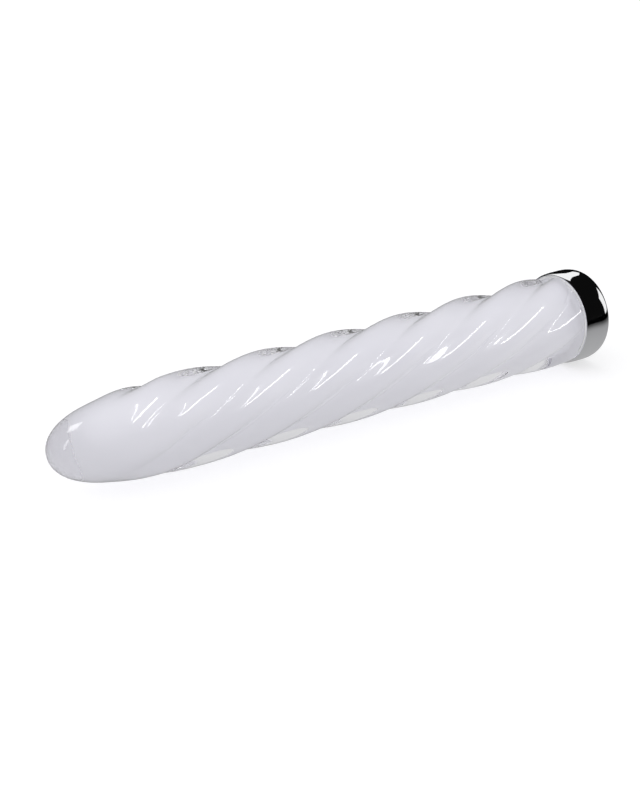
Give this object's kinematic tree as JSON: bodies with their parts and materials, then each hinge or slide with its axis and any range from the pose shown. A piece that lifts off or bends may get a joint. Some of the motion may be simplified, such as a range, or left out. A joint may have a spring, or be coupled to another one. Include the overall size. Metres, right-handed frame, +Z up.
{
  "type": "glass personal massager",
  "caption": "Thick clear glass wand with twisted rounded lobes over an opal core, a domed tip and a short chrome end cap with a push button.",
  "frame": {"origin": "on the table, under the middle of the wand as it lies on its end cap's band", "axes": "+X from the domed tip to the chrome end cap along the wand's axis, +Z up, +Y sideways"},
  "size_m": [0.208, 0.03, 0.03],
  "materials": {
    "clear_glass": "clear, fire-polished borosilicate glass",
    "opal_glass": "opaque milky white glass",
    "chrome_cap": "mirror chrome on stainless steel",
    "chrome_button": "mirror chrome on stainless steel",
    "seal_silicone": "satin pale grey silicone",
    "adhesive": "cured clear adhesive",
    "anodised_tube": "satin anodised",
    "black_plastic": "fine matt moulding",
    "white_plastic": "moulded nylon",
    "grey_plastic": "moulded plastic",
    "black_rubber": "satin rubber",
    "motor_steel": "nickel-plated drawn steel",
    "polished_steel": "ground steel",
    "weight_steel": "sintered heavy metal",
    "ferrite": "sintered ferrite",
    "bronze": "sintered bronze",
    "copper_winding": "enamelled copper wire on laminated steel",
    "copper": "turned copper",
    "spring_brass": "stamped spring brass",
    "gold_plate": "gold-plated brass",
    "foam": "closed-cell foam",
    "cell_film": "shrunk film",
    "lead_red": "PVC insulation",
    "lead_black": "PVC insulation",
    "board_green": "solder mask on fibreglass",
    "chip_epoxy": "moulded epoxy",
    "led_resin": "cast resin",
    "frosted_plastic": "frosted translucent polycarbonate",
    "magnet_nickel": "nickel-plated magnet"
  },
  "bodies": {
    "wand": {"glass_casing": "clear_glass", "opal_core": "opal_glass", "end_cap": "chrome_cap", "seal_ring": "seal_silicone", "bond_ring": "adhesive", "cartridge_tube": "anodised_tube", "cartridge_nose": "black_plastic", "o_ring_front": "black_rubber", "o_ring_rear": "black_rubber", "motor_sleeve": "black_rubber", "motor_can": "motor_steel", "motor_bell": "white_plastic", "motor_magnet_upper": "ferrite", "motor_magnet_lower": "ferrite", "bushing_front": "bronze", "bushing_rear": "bronze", "foam_pad": "foam", "cell_can": "motor_steel", "cell_wrap": "cell_film", "cell_cap": "polished_steel", "contact_front": "spring_brass", "contact_rear": "spring_brass", "cell_cradle": "grey_plastic", "motor_lead_left": "lead_red", "motor_lead_right": "lead_black", "circuit_board": "board_green", "controller_chip": "chip_epoxy", "charger_chip": "chip_epoxy", "led_left": "led_resin", "led_right": "led_resin", "board_screw_left": "polished_steel", "board_screw_right": "polished_steel", "switch_body": "motor_steel", "light_ring": "frosted_plastic", "charge_pin_left": "gold_plate", "charge_pin_right": "gold_plate", "pin_sleeve_left": "black_plastic", "pin_sleeve_right": "black_plastic", "charger_magnet_left": "magnet_nickel", "charger_magnet_right": "magnet_nickel"},
    "button": {"power_button": "chrome_button", "button_seal": "black_rubber"},
    "plunger": {"switch_plunger": "black_plastic"},
    "rotor": {"rotor_shaft": "polished_steel", "armature": "copper_winding", "commutator": "copper", "eccentric_weight": "weight_steel"}
  },
  "joints": [
    {"name": "button_press", "type": "slide", "parent": "wand", "child": "button", "axis": [-1, 0, 0], "range_m": [0, 0.0005], "stiffness_N_per_m": 3000, "springref_m": -0.0003},
    {"name": "switch_press", "type": "slide", "parent": "wand", "child": "plunger", "axis": [-1, 0, 0], "range_m": [0, 0.0005]},
    {"name": "motor_spin", "type": "hinge", "parent": "wand", "child": "rotor", "pos_m": [0.023, 0, 0.015], "axis": [1, 0, 0], "continuous": true}
  ],
  "couplings": [
    {"joint": "switch_press", "follows": "button_press", "ratio": 1}
  ]
}
